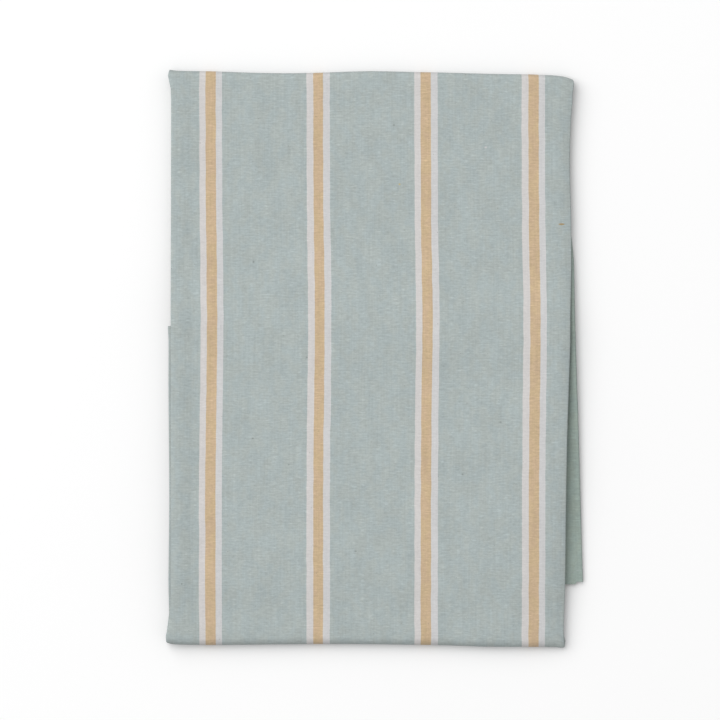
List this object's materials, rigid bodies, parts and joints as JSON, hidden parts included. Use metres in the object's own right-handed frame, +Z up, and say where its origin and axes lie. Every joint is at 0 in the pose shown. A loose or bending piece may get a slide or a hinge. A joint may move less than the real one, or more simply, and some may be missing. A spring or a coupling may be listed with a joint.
{
  "type": "folded tablecloth",
  "caption": "Striped cotton tablecloth, hemmed all round, folded into a flat oblong packet and lying on its lowest run.",
  "frame": {"origin": "middle of the packet's outline, on the face it lies on", "axes": "+X across the packet and its stripes, +Y along the packet towards its upper fold, +Z up through its layers"},
  "size_m": [0.3658, 0.5069, 0.0198],
  "materials": {
    "cotton": "matt plain weave in pale sage grey, with white and tan stripes along the packet"
  },
  "bodies": {
    "root": {"cloth": "cotton"}
  },
  "joints": []
}
